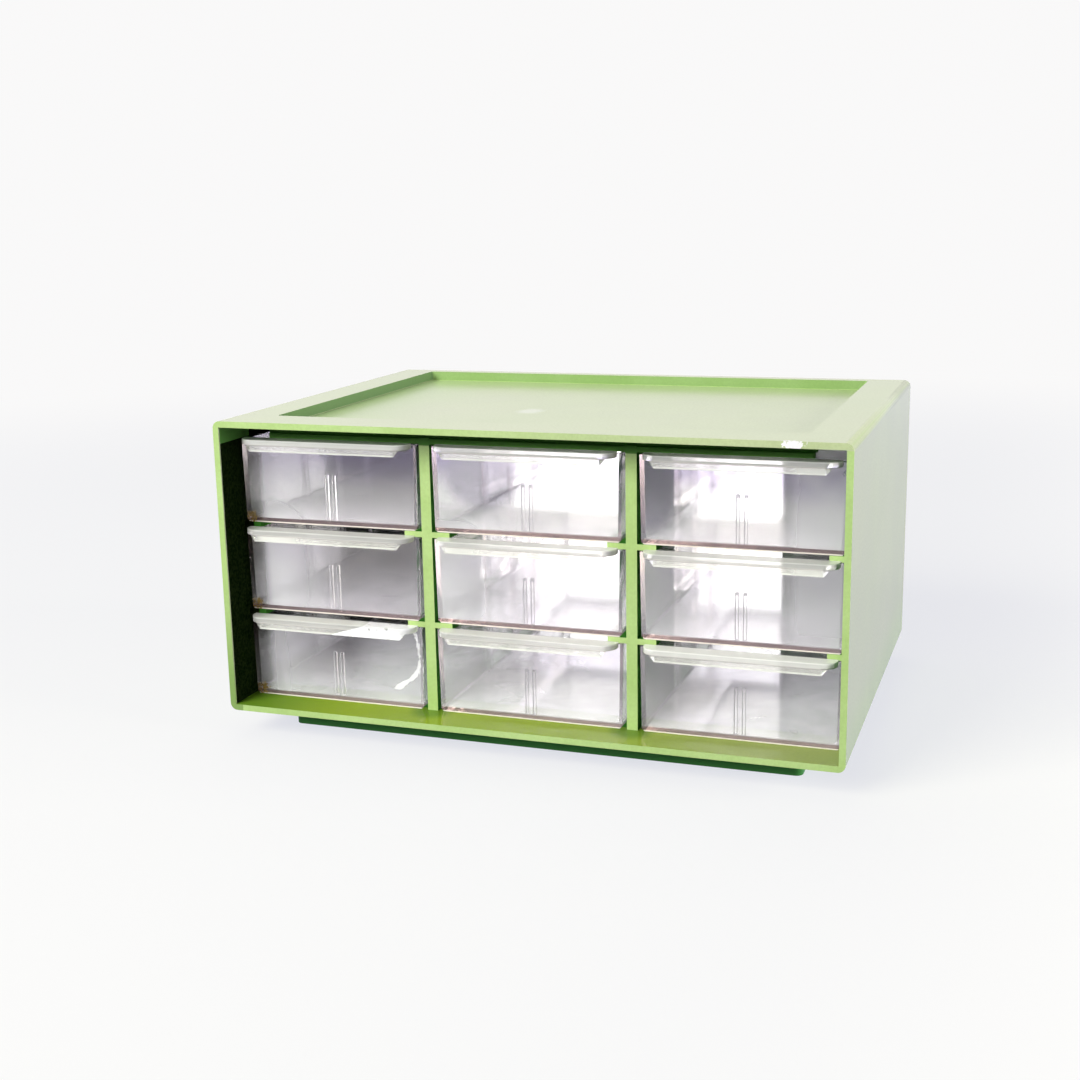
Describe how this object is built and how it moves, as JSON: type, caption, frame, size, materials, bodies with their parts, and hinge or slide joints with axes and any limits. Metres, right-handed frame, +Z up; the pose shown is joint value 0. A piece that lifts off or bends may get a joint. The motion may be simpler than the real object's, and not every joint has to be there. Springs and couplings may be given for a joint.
{
  "type": "parts bin cabinet",
  "caption": "Low stackable plastic housing with rows of clear pull-out drawers, each with a full-width finger flange; tray on top and matching foot below.",
  "frame": {"origin": "middle of the rectangle that the whole cabinet covers, on the plane that the underside of its foot stands on", "axes": "+X to the right seen from the front, +Y towards the back, +Z up; the drawers face -Y and pull out along -Y"},
  "size_m": [0.22, 0.161, 0.1145],
  "materials": {
    "green_plastic": "moulded polystyrene, fine satin grain, olive to leaf green",
    "clear_plastic": "clear injection-moulded polystyrene, glossy, faintly smoky, lightly scratched"
  },
  "bodies": {
    "housing": {"housing": "green_plastic"},
    "drawer_top_left": {"drawer_top_left": "clear_plastic"},
    "drawer_top_middle": {"drawer_top_middle": "clear_plastic"},
    "drawer_top_right": {"drawer_top_right": "clear_plastic"},
    "drawer_middle_left": {"drawer_middle_left": "clear_plastic"},
    "drawer_middle_middle": {"drawer_middle_middle": "clear_plastic"},
    "drawer_middle_right": {"drawer_middle_right": "clear_plastic"},
    "drawer_bottom_left": {"drawer_bottom_left": "clear_plastic"},
    "drawer_bottom_middle": {"drawer_bottom_middle": "clear_plastic"},
    "drawer_bottom_right": {"drawer_bottom_right": "clear_plastic"}
  },
  "joints": [
    {"name": "drawer_top_left_slide", "type": "slide", "parent": "housing", "child": "drawer_top_left", "axis": [0, -1, 0], "range_m": [0, 0.14]},
    {"name": "drawer_top_middle_slide", "type": "slide", "parent": "housing", "child": "drawer_top_middle", "axis": [0, -1, 0], "range_m": [0, 0.14]},
    {"name": "drawer_top_right_slide", "type": "slide", "parent": "housing", "child": "drawer_top_right", "axis": [0, -1, 0], "range_m": [0, 0.14]},
    {"name": "drawer_middle_left_slide", "type": "slide", "parent": "housing", "child": "drawer_middle_left", "axis": [0, -1, 0], "range_m": [0, 0.14]},
    {"name": "drawer_middle_middle_slide", "type": "slide", "parent": "housing", "child": "drawer_middle_middle", "axis": [0, -1, 0], "range_m": [0, 0.14]},
    {"name": "drawer_middle_right_slide", "type": "slide", "parent": "housing", "child": "drawer_middle_right", "axis": [0, -1, 0], "range_m": [0, 0.14]},
    {"name": "drawer_bottom_left_slide", "type": "slide", "parent": "housing", "child": "drawer_bottom_left", "axis": [0, -1, 0], "range_m": [0, 0.14]},
    {"name": "drawer_bottom_middle_slide", "type": "slide", "parent": "housing", "child": "drawer_bottom_middle", "axis": [0, -1, 0], "range_m": [0, 0.14]},
    {"name": "drawer_bottom_right_slide", "type": "slide", "parent": "housing", "child": "drawer_bottom_right", "axis": [0, -1, 0], "range_m": [0, 0.14]}
  ]
}
